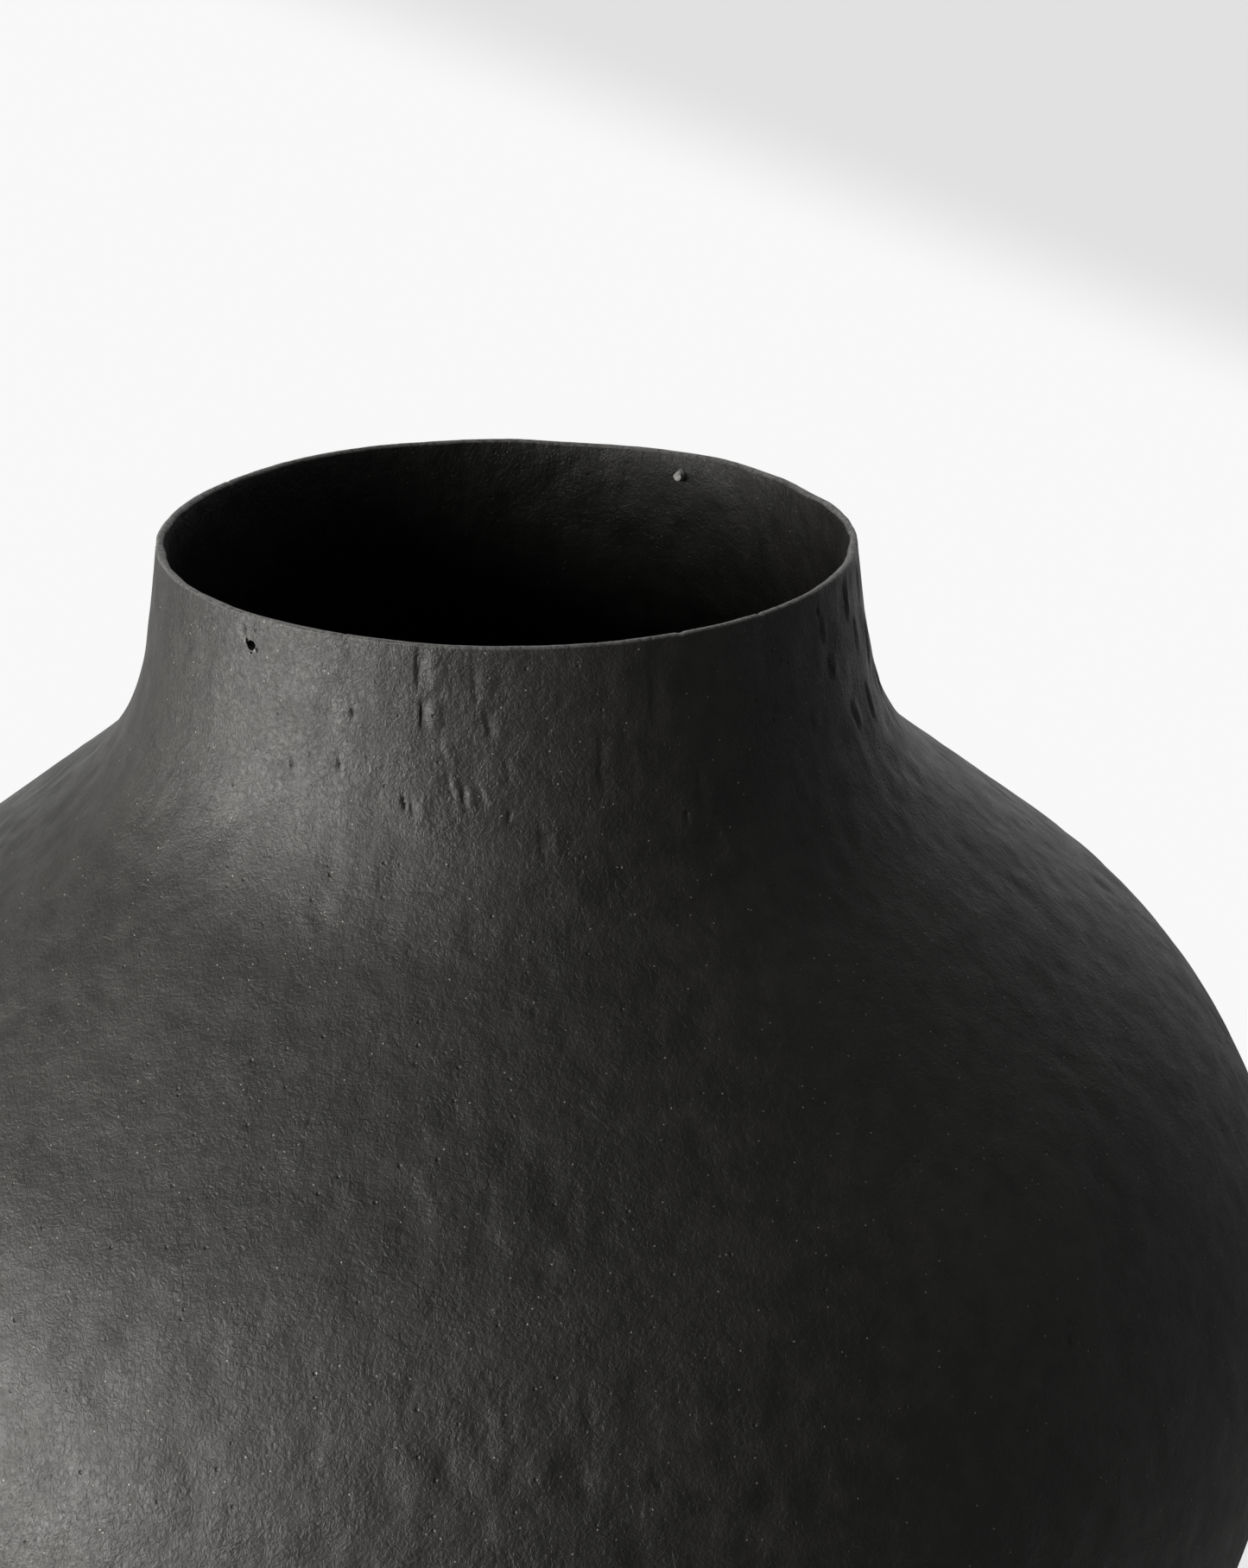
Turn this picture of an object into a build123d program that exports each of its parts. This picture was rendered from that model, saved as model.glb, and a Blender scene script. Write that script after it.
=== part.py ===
from build123d import *
import os
from math import asin, atan2, cos, degrees, radians, sin, sqrt

# A hand-coiled black clay jar, in millimetres. +Z is up, the origin is the middle of the underside.
# The jar is built the way a potter builds it: a pressed base dish, then coils of clay luted one on
# another, each pinched out to the wall's thickness and lapped over the inside of the coil below.

# ---- driving dimensions: the whole jar -------------------------------------------------------
height = 440.0             # underside to the top of the lip
body_diameter = 495.0      # outside, at the widest level of the belly
mouth_diameter = 200.0     # outside, at the lip
base_diameter = 170.0      # the flat that the jar stands on

# ---- the wall's outline, from the lip down ---------------------------------------------------
neck_height = 34.5         # from the lip down to where the throat starts to turn outwards
lip_lean = 7.6             # degrees from upright at the lip: the neck widens downwards
neck_foot_lean = 12.4      # degrees from upright at the neck's foot
throat_radius = 71.4       # the hollow curve between neck and shoulder
shoulder_lean = 52.6       # degrees from upright on the straight of the shoulder
belly_radius = 150.0       # the curve from the shoulder over to the widest level

# ---- thicknesses -----------------------------------------------------------------------------
wall = 6.0                 # belly, shoulder and throat
lip = 2.5                  # the pinched and wiped edge of the mouth
lip_crown = 0.8            # how far the middle of the lip stands above its outer edge
floor = 9.0                # the base, at the middle

# ---- coils and seams -------------------------------------------------------------------------
dish_rise = 5.0            # the dish's inner face turns up this far beyond the floor's edge
bowl_coils = 6
belly_coils = 2
shoulder_coils = 3
neck_coils = 1
seam_lap = 7.0             # an upper coil reaches this far lower on the inside than on the outside

# ---- the pricked hole and the nub of clay under the lip ---------------------------------------
hole_diameter = 2.8
hole_drop = 7.0            # from the lip's top down to the hole's axis
hole_azimuth = -131.0      # degrees from +X, anticlockwise seen from above
nub_diameter = 4.4         # where it leaves the wall
nub_tip_diameter = 2.6
nub_reach = 3.4            # how far it stands out of the wall, into the mouth
nub_drop = 7.0
nub_azimuth = 55.0

# ---- sizes that follow -----------------------------------------------------------------------
mouth_radius = mouth_diameter / 2
body_radius = body_diameter / 2
base_radius = base_diameter / 2


def on_circle(centre, radius, lean):
    """The point where a circle's tangent leans this many degrees from upright."""
    return (centre[0] + radius * cos(radians(lean)), centre[1] + radius * sin(radians(lean)))


def outline():
    """The centres and radii of the arcs of the outer wall, and the corners between them, in (r, z)."""
    start = (mouth_radius, height - lip_crown)
    # The neck's gentle arc, like the throat's, has its centre outside the jar.
    neck_radius = neck_height / (sin(radians(neck_foot_lean)) - sin(radians(lip_lean)))
    neck_centre = on_circle(start, neck_radius, lip_lean)
    neck_foot = on_circle(neck_centre, -neck_radius, neck_foot_lean)
    throat_centre = on_circle(neck_foot, throat_radius, neck_foot_lean)
    throat_foot = on_circle(throat_centre, -throat_radius, shoulder_lean)
    # The shoulder's straight is as long as the body's diameter asks for.
    belly_in = belly_radius * (1 - cos(radians(shoulder_lean)))
    straight = (body_radius - belly_in - throat_foot[0]) / sin(radians(shoulder_lean))
    shoulder_foot = (
        throat_foot[0] + straight * sin(radians(shoulder_lean)),
        throat_foot[1] - straight * cos(radians(shoulder_lean)),
    )
    widest = body_radius, shoulder_foot[1] - belly_radius * sin(radians(shoulder_lean))
    belly_centre = (body_radius - belly_radius, widest[1])
    # One arc, upright at the widest level, comes down to the edge of the flat.
    bowl_turn = 2 * atan2(body_radius - base_radius, widest[1])
    bowl_radius = widest[1] / sin(bowl_turn)
    bowl_centre = (body_radius - bowl_radius, widest[1])
    return {
        "neck": (neck_centre, neck_radius),
        "throat": (throat_centre, throat_radius),
        "throat_foot": throat_foot,
        "shoulder_foot": shoulder_foot,
        "belly": (belly_centre, belly_radius),
        "bowl": (bowl_centre, bowl_radius),
        "bowl_lean": degrees(bowl_turn),
    }


shape = outline()


def wall_stretches(inset):
    """The wall's stretches from the base's edge up to the lip, on the outer face or, moved in by the
    wall, on the inner one. Each is (length along the outer face, a function from a share to a point)."""
    bowl_centre, bowl_r = shape["bowl"]
    belly_centre, belly_r = shape["belly"]
    throat_centre, throat_r = shape["throat"]
    neck_centre, neck_r = shape["neck"]
    lean = shape["bowl_lean"]
    foot, top = shape["shoulder_foot"], shape["throat_foot"]
    out = (cos(radians(shoulder_lean)), sin(radians(shoulder_lean)))
    straight = sqrt((foot[0] - top[0]) ** 2 + (foot[1] - top[1]) ** 2)

    def bowl(share):
        return on_circle(bowl_centre, bowl_r - inset, -lean * (1 - share))

    def belly(share):
        return on_circle(belly_centre, belly_r - inset, shoulder_lean * share)

    def shoulder(share):
        return tuple(foot[k] + (top[k] - foot[k]) * share - out[k] * inset for k in (0, 1))

    def throat(share):
        lean_here = between(shoulder_lean, neck_foot_lean, share)
        return on_circle(throat_centre, -throat_r - inset, lean_here)

    def neck(share):
        if inset:
            return inner_neck(throat(1), share)
        return on_circle(neck_centre, -neck_r, between(neck_foot_lean, lip_lean, share))

    return [
        (bowl_r * radians(lean), bowl),
        (belly_r * radians(shoulder_lean), belly),
        (straight, shoulder),
        (throat_r * radians(shoulder_lean - neck_foot_lean), throat),
        (neck_r * radians(neck_foot_lean - lip_lean), neck),
    ]


def between(low, high, share):
    return low + (high - low) * share


def inner_neck(foot, share):
    """The neck's inner face thins from the wall to the lip: an arc that leaves the throat smoothly."""
    mouth = (mouth_radius - lip, height - lip_crown)
    chord = (mouth[0] - foot[0], mouth[1] - foot[1])
    chord_lean = degrees(atan2(-chord[0], chord[1]))
    turn = radians(2 * (neck_foot_lean - chord_lean))
    radius = sqrt(chord[0] ** 2 + chord[1] ** 2) / 2 / sin(turn / 2)
    centre = on_circle(foot, radius, neck_foot_lean)
    return on_circle(centre, -radius, neck_foot_lean - degrees(turn) * share)


def floor_lean():
    """Where the bowl's inner face meets the floor, as degrees from upright."""
    centre, radius = shape["bowl"]
    return degrees(asin((centre[1] - floor) / (radius - wall)))


def wall_length():
    """Along the outer face, from the base's edge to the lip."""
    return sum(length for length, _ in wall_stretches(0))


def point_along(run, inset):
    """The point this far along the wall from the base's edge, on the outer or the inner face."""
    for length, place in wall_stretches(inset):
        if run <= length:
            return place(run / length)
        run -= length
    return place(1)


def arc(place, start=0, end=1):
    """One stretch of the wall as an arc, from one share of it to another."""
    return ThreePointArc(place(start), place((start + end) / 2), place(end))


def section():
    """Half of the jar's cross-section, in the XZ plane, from the axis out."""
    bowl, belly, shoulder, throat, neck = [place for _, place in wall_stretches(0)]
    inner_bowl, inner_belly, inner_shoulder, inner_throat, inner_neck_ = [
        place for _, place in wall_stretches(wall)
    ]
    floor_share = 1 - floor_lean() / shape["bowl_lean"]
    with BuildSketch(Plane.XZ) as sketch:
        with BuildLine():
            Line((0, 0), bowl(0))
            arc(bowl)
            arc(belly)
            Line(shoulder(0), shoulder(1))
            arc(throat)
            arc(neck)
            ThreePointArc(neck(1), (mouth_radius - lip / 2, height), inner_neck_(1))
            arc(inner_neck_, 1, 0)
            arc(inner_throat, 1, 0)
            Line(inner_shoulder(1), inner_shoulder(0))
            arc(inner_belly, 1, 0)
            arc(inner_bowl, 1, floor_share)
            Line(inner_bowl(floor_share), (0, floor))
            Line((0, floor), (0, 0))
        make_face()
    return sketch.sketch


def seam(run):
    """A seam's two ends, a little outside the wall on both sides: it slants down towards the inside."""
    outside = Vector(*point_along(run, 0))
    inside = Vector(*point_along(run - seam_lap, wall))
    beyond = (outside - inside).normalized() * wall
    return outside + beyond, inside - beyond


def coil_names():
    groups = (("bowl", bowl_coils), ("belly", belly_coils), ("shoulder", shoulder_coils))
    names = [f"{part}_coil_{i + 1}" for part, count in groups for i in range(count)]
    necks = [f"neck_coil_{i + 1}" for i in range(neck_coils)] if neck_coils > 1 else ["neck_coil"]
    return names + necks


def courses():
    """The base dish and the coils: the jar's section cut along its seams, each turned about the axis."""
    whole = section()
    names = coil_names()
    floor_run = shape["bowl"][1] * radians(shape["bowl_lean"] - floor_lean())
    first = floor_run + dish_rise + seam_lap
    course = (wall_length() - first) / len(names)
    seams = [seam(first + i * course) for i in range(len(names))]
    far = body_radius + height
    foot = seams[0]
    corners = [(far, -far), (far, foot[0].Y), *foot, (0, foot[1].Y), (0, -far)]
    solids = {"base_dish": turned(whole, corners)}
    for name, lower, upper in zip(names, seams, seams[1:]):
        solids[name] = turned(whole, [*lower, *reversed(upper)])
    top = seams[-1]
    corners = [(far, far), (far, top[0].Y), *top, (0, top[1].Y), (0, far)]
    solids[names[-1]] = turned(whole, corners)
    return solids


def turned(whole, corners):
    """What of the section lies within these corners, turned about the axis."""
    return revolve(whole & (Plane.XZ * make_face(Polyline(*corners, close=True))), Axis.Z)


def radially(azimuth, z):
    """A plane on the axis at this height whose normal points outwards at this azimuth."""
    out = (cos(radians(azimuth)), sin(radians(azimuth)), 0)
    return Plane(origin=(0, 0, z), x_dir=(0, 0, 1), z_dir=out)


def pricked_hole():
    """What the thorn takes out of the neck."""
    bore = Cylinder(hole_diameter / 2, mouth_radius, align=(Align.CENTER, Align.CENTER, Align.MIN))
    start = mouth_radius / 2
    return radially(hole_azimuth, height - hole_drop) * Pos(0, 0, start) * bore


def nub(neck):
    """A short blunt nub of clay standing inwards from the neck's inner face."""
    rooted = wall
    tip = inner_radius_at(neck, nub_azimuth, height - nub_drop) - nub_reach
    taper = (nub_diameter - nub_tip_diameter) / 2 / nub_reach
    length = nub_reach + rooted
    root_radius = nub_tip_diameter / 2 + taper * length
    cone = Cone(
        nub_tip_diameter / 2, root_radius, length, align=(Align.CENTER, Align.CENTER, Align.MIN)
    )
    tip_edge = cone.edges().filter_by(GeomType.CIRCLE).sort_by(SortBy.RADIUS)[0]
    cone = fillet(tip_edge, nub_tip_diameter * 0.3)
    placed = radially(nub_azimuth, height - nub_drop) * Pos(0, 0, tip) * cone
    pieces = (placed - neck).solids()
    return min(pieces, key=lambda piece: Vector(piece.center().X, piece.center().Y).length)


def inner_radius_at(neck, azimuth, z):
    """Where a level line from the axis meets the neck's inner face."""
    out = Vector(cos(radians(azimuth)), sin(radians(azimuth)), 0)
    line = Edge.make_line(Vector(0, 0, z), out * body_diameter + Vector(0, 0, z))
    hits = (line & neck).edges()
    return min(Vector(v.X, v.Y).length for hit in hits for v in hit.vertices())


def jar():
    solids = courses()
    neck = solids[coil_names()[-1]]
    solids["clay_nub"] = nub(neck)
    solids[coil_names()[-1]] = neck - pricked_hole()
    return solids


def write(solids):
    os.makedirs("parts", exist_ok=True)
    for name, shape_ in solids.items():
        export_step(shape_, f"parts/{name}.step")


write(jar())
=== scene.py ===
"""A large hand-coiled jar of black clay: each coil is a piece of its own, beaten and scraped smooth."""

from math import cos, pi, radians, sin

import bmesh
import bpy
import numpy as np
from mathutils import Matrix, Vector


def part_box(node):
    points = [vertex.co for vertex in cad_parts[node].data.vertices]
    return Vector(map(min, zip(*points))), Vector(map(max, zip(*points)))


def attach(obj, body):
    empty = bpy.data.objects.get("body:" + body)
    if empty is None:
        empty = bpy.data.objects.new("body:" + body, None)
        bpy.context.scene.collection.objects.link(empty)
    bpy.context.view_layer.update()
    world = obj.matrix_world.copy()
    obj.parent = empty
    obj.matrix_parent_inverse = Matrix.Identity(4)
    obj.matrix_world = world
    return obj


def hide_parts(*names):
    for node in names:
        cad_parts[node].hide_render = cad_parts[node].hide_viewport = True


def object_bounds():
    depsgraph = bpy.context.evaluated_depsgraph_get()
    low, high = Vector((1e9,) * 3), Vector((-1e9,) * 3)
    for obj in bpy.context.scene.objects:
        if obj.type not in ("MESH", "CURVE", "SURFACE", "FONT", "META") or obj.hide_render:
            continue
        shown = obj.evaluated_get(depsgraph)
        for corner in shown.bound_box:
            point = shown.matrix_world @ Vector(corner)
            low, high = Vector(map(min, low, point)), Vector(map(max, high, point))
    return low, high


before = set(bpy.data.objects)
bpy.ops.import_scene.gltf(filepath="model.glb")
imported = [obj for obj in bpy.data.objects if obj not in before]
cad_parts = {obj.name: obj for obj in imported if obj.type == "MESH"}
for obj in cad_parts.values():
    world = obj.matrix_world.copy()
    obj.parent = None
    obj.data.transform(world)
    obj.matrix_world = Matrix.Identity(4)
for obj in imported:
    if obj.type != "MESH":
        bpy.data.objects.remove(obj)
cad_low, cad_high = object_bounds()

MM = 0.001

# ---- the jar's outline, in millimetres and degrees from upright ------------------------------------
HEIGHT = cad_high.z / MM
BODY_RADIUS = cad_high.x / MM
MOUTH_RADIUS = 100.0
BASE_RADIUS = 85.0
NECK_HEIGHT = 34.5
THROAT_RADIUS = 71.4
BELLY_RADIUS = 150.0
LIP_LEAN = 7.6
NECK_FOOT_LEAN = 12.4
SHOULDER_LEAN = 52.6
WALL = 6.0
LIP = 2.5
LIP_CROWN = 0.8
FLOOR = 9.0
DISH_RISE = 5.0
SEAM_LAP = 7.0

# ---- how finely the wall is made -------------------------------------------------------------------
STEPS_AROUND = 1280
COIL_STEP = 1.45            # between rows on the outer face
NECK_STEP = 0.95            # the same on the neck and the throat, where the marks are small
INNER_STEP = 5.0
NECK_INNER_STEP = 3.5
WELD = 2e-6                 # in metres: how close two points are when they are one

# ---- the hole and the nub under the lip ------------------------------------------------------------
HOLE_AZIMUTH = -131.0
HOLE_DROP = 7.0
HOLE_DIAMETER = 2.8
NUB_AZIMUTH = 55.0
NUB_DROP = 7.0
NUB_RISE = 1.0              # how far it sits above the place that its drop gives along the wall

# ---- the marks that the potter's tools left --------------------------------------------------------
# Dragged marks have a steep left side and run out to the right:
# (azimuth of the steep side, millimetres down from the lip, width, half length, depth, slant)
DRAGGED_MARKS = [
    (-103.3, 6.0, 4.4, 6.2, 0.50, 0.04),
    (-102.7, 17.4, 3.4, 4.4, 0.62, 0.03),
    (-103.9, 41.0, 3.0, 3.4, 0.34, 0.05),
    (-95.4, 9.0, 3.6, 6.0, 0.20, 0.00),
    (-93.6, 20.0, 3.0, 4.0, 0.36, 0.25),
    (-98.6, 35.0, 1.8, 3.4, 0.40, 0.35),
    (-96.6, 38.0, 1.8, 3.8, 0.45, 0.30),
    (-94.4, 37.0, 1.8, 2.8, 0.35, 0.40),
    (-99.8, 27.0, 2.4, 4.0, 0.22, 0.30),
    (-91.0, 31.0, 3.6, 6.0, 0.20, 0.10),
    (-86.5, 48.0, 4.0, 6.0, 0.25, 0.10),
    (-78.0, 30.0, 4.0, 9.0, 0.25, 0.00),
    (-70.0, 14.0, 4.6, 9.0, 0.25, 0.00),
    (-64.0, 40.0, 4.0, 8.0, 0.25, 0.00),
    (-35.5, 11.5, 2.6, 4.5, 0.50, 0.00),
    (-33.7, 22.5, 3.0, 4.0, 0.75, 0.05),
    (-25.4, 8.0, 3.0, 7.0, 0.70, -0.05),
    (-22.0, 20.0, 3.0, 6.0, 0.45, 0.00),
    (-27.8, 39.5, 3.0, 5.0, 0.70, 0.10),
    (-20.4, 40.5, 3.2, 6.5, 0.75, 0.10),
    (-14.0, 27.0, 3.2, 8.0, 0.60, 0.00),
    (-8.0, 44.0, 3.4, 7.0, 0.70, 0.10),
    (-41.0, 33.0, 3.2, 5.0, 0.35, 0.00),
    (-47.0, 48.0, 3.6, 5.0, 0.30, 0.00),
    (-16.0, 8.0, 3.0, 6.0, 0.40, 0.00),
]
# Pressed marks are soft hollows: (azimuth, down, half width, half length, depth, slant)
PRESSED_MARKS = [
    (-104.8, 39.8, 0.9, 2.3, 0.8, 0.1),
    (-132.7, 4.2, 0.5, 1.2, 0.9, 0.6),
    (-112.8, 19.0, 0.7, 1.8, 0.6, 0.0),
    (-122.0, 35.0, 0.7, 1.6, 0.6, 0.3),
    (-114.5, 33.0, 0.8, 1.6, 0.6, 0.3),
    (-119.0, 31.5, 0.6, 1.2, 0.5, 0.3),
    (-90.5, 42.0, 1.0, 1.5, 0.5, 0.0),
    (-96.6, 140.0, 1.8, 4.6, 0.26, 0.1),
    (-90.6, 142.0, 1.8, 5.6, 0.26, 0.1),
    (-85.7, 143.5, 1.9, 6.6, 0.28, 0.1),
    (-86.3, 156.5, 1.8, 3.6, 0.24, 0.1),
    (-90.6, 153.0, 1.8, 3.2, 0.22, 0.1),
    (-94.4, 152.0, 1.8, 3.4, 0.24, 0.2),
    (-82.0, 156.0, 1.8, 3.0, 0.20, 0.1),
    (-92.0, 110.0, 2.6, 2.4, 0.22, 0.0),
    (-85.5, 109.0, 2.6, 2.6, 0.22, 0.0),
    (-82.8, 111.0, 2.2, 3.2, 0.16, 0.0),
]
# Where the lip dips or rises: (azimuth, half width in degrees, rise in millimetres)
LIP_WAVES = [
    (125.0, 26.0, 0.5),
    (76.0, 16.0, -0.65),
    (47.0, 11.0, 0.55),
    (22.0, 10.0, -0.7),
    (-120.0, 30.0, 0.2),
]
# Nicks in the lip: (azimuth, half width in millimetres, depth)
LIP_NICKS = [
    (-49.5, 1.1, 0.35),
    (-64.6, 0.9, 0.3),
    (-114.9, 0.9, 0.25),
    (-78.0, 0.7, 0.18),
    (150.0, 1.2, 0.3),
]
NICK_HALF_LENGTH = 1.6


# ---- node helpers ----------------------------------------------------------------------------------
class Tree:
    """Adds nodes to a tree and wires each to the values or sockets that it is given."""

    def __init__(self, tree):
        self.tree = tree

    def wire(self, socket, value):
        if isinstance(value, bpy.types.NodeSocket):
            self.tree.links.new(value, socket)
        else:
            socket.default_value = value

    def add(self, kind, inputs=None, **settings):
        node = self.tree.nodes.new(kind)
        for name, value in settings.items():
            setattr(node, name, value)
        for name, value in (inputs or {}).items():
            self.wire(node.inputs[name], value)
        return node

    def math(self, operation, *values, clamp=False):
        node = self.add("ShaderNodeMath", operation=operation, use_clamp=clamp)
        for socket, value in zip(node.inputs, values):
            self.wire(socket, value)
        return node.outputs[0]

    def vector(self, operation, *values, out="Vector", scale=None):
        node = self.add("ShaderNodeVectorMath", operation=operation)
        for socket, value in zip(node.inputs, values):
            self.wire(socket, value)
        if scale is not None:
            self.wire(node.inputs["Scale"], scale)
        return node.outputs[out]

    def split(self, vector):
        return self.add("ShaderNodeSeparateXYZ", {0: vector}).outputs

    def joined(self, x=0.0, y=0.0, z=0.0):
        return self.add("ShaderNodeCombineXYZ", {0: x, 1: y, 2: z}).outputs[0]

    def ramp(self, value, low, high, to_low=0.0, to_high=1.0, smooth=True):
        """The value from low to high, as to_low to to_high, held beyond them."""
        kind = "SMOOTHSTEP" if smooth else "LINEAR"
        node = self.add("ShaderNodeMapRange", interpolation_type=kind)
        for socket, number in zip(node.inputs, (value, low, high, to_low, to_high)):
            self.wire(socket, number)
        return node.outputs[0]

    def noise(self, vector, scale, detail=2.0, roughness=0.5):
        sizes = {"Vector": vector, "Scale": scale, "Detail": detail, "Roughness": roughness}
        return self.add("ShaderNodeTexNoise", sizes).outputs[0]

    def wander(self, vector, scale, detail=2.0):
        """Noise that wanders to both sides of zero."""
        return self.math("SUBTRACT", self.noise(vector, scale, detail), 0.5)

    def swirled(self, vector, scale, reach):
        """The vector, pushed about by up to half of the reach each way."""
        noise = self.add("ShaderNodeTexNoise", {"Vector": vector, "Scale": scale, "Detail": 1.0})
        push = self.vector("SUBTRACT", noise.outputs["Color"], (0.5, 0.5, 0.5))
        return self.vector("ADD", vector, self.vector("SCALE", push, scale=reach))

    def product(self, *values):
        """The product of several sockets or numbers."""
        result = values[0]
        for value in values[1:]:
            result = self.math("MULTIPLY", result, value)
        return result

    def total(self, values):
        """The sum of several sockets."""
        result = values[0]
        for value in values[1:]:
            result = self.math("ADD", result, value)
        return result

    def around_axis(self, place):
        """A point's heading from the axis, its distance from it in millimetres, and its x, y and z."""
        x, y, z = self.split(place)
        level = self.joined(x, y)
        radius = self.math("MULTIPLY", self.vector("LENGTH", level, out="Value"), 1 / MM)
        return self.vector("NORMALIZE", level), radius, (x, y, z)

    def blended(self, share, first, second):
        """Two colours, blended by a share of the second."""
        return self.add("ShaderNodeMix", {0: share, 6: first, 7: second}, data_type="RGBA").outputs[2]

    def cells(self, vector, scale, smoothness=None):
        feature = "F1" if smoothness is None else "SMOOTH_F1"
        node = self.add("ShaderNodeTexVoronoi", {"Vector": vector, "Scale": scale}, feature=feature)
        if smoothness is not None:
            node.inputs["Smoothness"].default_value = smoothness
        return node

    def group(self, group, inputs):
        kind = "GeometryNodeGroup" if self.tree.bl_idname == "GeometryNodeTree" else "ShaderNodeGroup"
        return self.add(kind, inputs, node_tree=group).outputs


def new_group(kind, name, inputs, outputs):
    """An empty node group with these sockets, as (tree helper, its inputs, its output node)."""
    group = bpy.data.node_groups.new(name, kind)
    for label, socket_type, value in inputs:
        socket = group.interface.new_socket(name=label, in_out="INPUT", socket_type=socket_type)
        if value is not None:
            socket.default_value = value
    for label, socket_type in outputs:
        group.interface.new_socket(name=label, in_out="OUTPUT", socket_type=socket_type)
    tree = Tree(group)
    return tree, tree.add("NodeGroupInput").outputs, tree.add("NodeGroupOutput")


FLOAT, VECTOR, COLOR = "NodeSocketFloat", "NodeSocketVector", "NodeSocketColor"
INT, GEOMETRY, MATERIAL = "NodeSocketInt", "NodeSocketGeometry", "NodeSocketMaterial"


# ---- the outline -----------------------------------------------------------------------------------
def wall_outline():
    """The outer face from the base's edge up to the lip: runs, radii, heights and leans, finely stepped."""
    lip, foot, slope = (radians(a) for a in (LIP_LEAN, NECK_FOOT_LEAN, SHOULDER_LEAN))
    neck_radius = NECK_HEIGHT / (sin(foot) - sin(lip))
    neck_flare = neck_radius * (cos(lip) - cos(foot))
    throat_flare = THROAT_RADIUS * (cos(foot) - cos(slope))
    throat_foot = MOUTH_RADIUS + neck_flare + throat_flare
    straight = (BODY_RADIUS - BELLY_RADIUS * (1 - cos(slope)) - throat_foot) / sin(slope)
    drop = NECK_HEIGHT + THROAT_RADIUS * (sin(slope) - sin(foot)) + straight * cos(slope)
    widest = HEIGHT - LIP_CROWN - drop - BELLY_RADIUS * sin(slope)
    bowl_turn = 2 * np.arctan2(BODY_RADIUS - BASE_RADIUS, widest)
    bowl_radius = widest / sin(bowl_turn)
    stretches = [
        bowl_radius * bowl_turn,
        BELLY_RADIUS * slope,
        straight,
        THROAT_RADIUS * (slope - foot),
        neck_radius * (foot - lip),
    ]
    knots = np.concatenate([[0], np.cumsum(stretches)])
    runs = np.linspace(0, knots[-1], 20001)
    leans = np.interp(runs, knots, [-bowl_turn, 0, slope, slope, foot, lip])
    step = runs[1]
    middles = (leans[1:] + leans[:-1]) / 2
    radii = BASE_RADIUS - np.concatenate([[0], np.cumsum(np.sin(middles) * step)])
    heights = np.concatenate([[0], np.cumsum(np.cos(middles) * step)])
    floor_turn = np.arcsin((widest - FLOOR) / (bowl_radius - WALL))
    return {
        "runs": runs, "radii": radii, "heights": heights, "leans": leans,
        "length": knots[-1], "neck": knots[-2],
        "floor_run": bowl_radius * (bowl_turn - floor_turn),
    }


outline = wall_outline()


def thickness(run):
    """The wall's, which thins smoothly up the neck to the lip."""
    share = np.clip((run - outline["neck"]) / (outline["length"] - outline["neck"]), 0, 1)
    return WALL - (WALL - LIP) * share**2


def on_wall(run, share_in=0.0):
    """Radius, height and lean on the outer face, or this share of the wall's thickness into it."""
    r, z, lean = (np.interp(run, outline["runs"], outline[k]) for k in ("radii", "heights", "leans"))
    inset = thickness(run) * share_in
    return r - np.cos(lean) * inset, z - np.sin(lean) * inset, lean


def evenly(start, end, step):
    return np.linspace(start, end, max(2, int(round(abs(end - start) / step)) + 1))


def rows(runs, share_in, skin):
    """Section points as rows of (r, z, out_r, out_z, skin, and the share of pale wear and painted highlight).
    """
    r, z, lean = on_wall(runs, share_in)
    return np.stack([r, z, np.cos(lean), np.sin(lean), np.full_like(r, skin), np.zeros_like(r)], 1)


def coil_section(low, high, step):
    """A coil's closed section between two seams: up the outer face and down the inner one."""
    outer = rows(evenly(low, high, step), 0, 1.0)
    inner = rows(evenly(high - SEAM_LAP, low - SEAM_LAP, INNER_STEP), 1, 0.0)
    return np.concatenate([outer, inner]), True


def neck_section(low, step):
    """The top coil's section, which goes over the lip's rounded crown."""
    top = outline["length"]
    outer = rows(evenly(low, top, step), 0, 1.0)
    inner = rows(evenly(top, low - SEAM_LAP, NECK_INNER_STEP), 1, 0.0)
    start, end = outer[-1], inner[0]
    turns = np.radians(np.linspace(0, 180, 9)[1:-1])[:, None]
    middle, half = (start + end) / 2, (start - end) / 2
    crown = middle + half * np.cos(turns)
    crown[:, 1] += LIP_CROWN * np.sin(turns[:, 0])
    # Paler towards the top of the lip's crown: partly real wear, partly a painted highlight.
    crown[:, 5] = np.sin(turns[:, 0])
    return np.concatenate([outer, crown, inner]), True


def dish_section(high, step):
    """The base dish's section, open where it meets the axis."""
    flat = evenly(0, BASE_RADIUS, step * 4)[:-1]
    under = np.array([[r, 0, 0, -1, 1, 0] for r in flat])
    outer = rows(evenly(0, high, step), 0, 1.0)
    inner = rows(evenly(high - SEAM_LAP, outline["floor_run"], step * 2), 1, 0.0)
    floor = np.array([[r, FLOOR, 0, 1, 0, 0] for r in np.linspace(inner[-1, 0], 0, 24)[1:]])
    return np.concatenate([under, outer, inner, floor]), False


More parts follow.
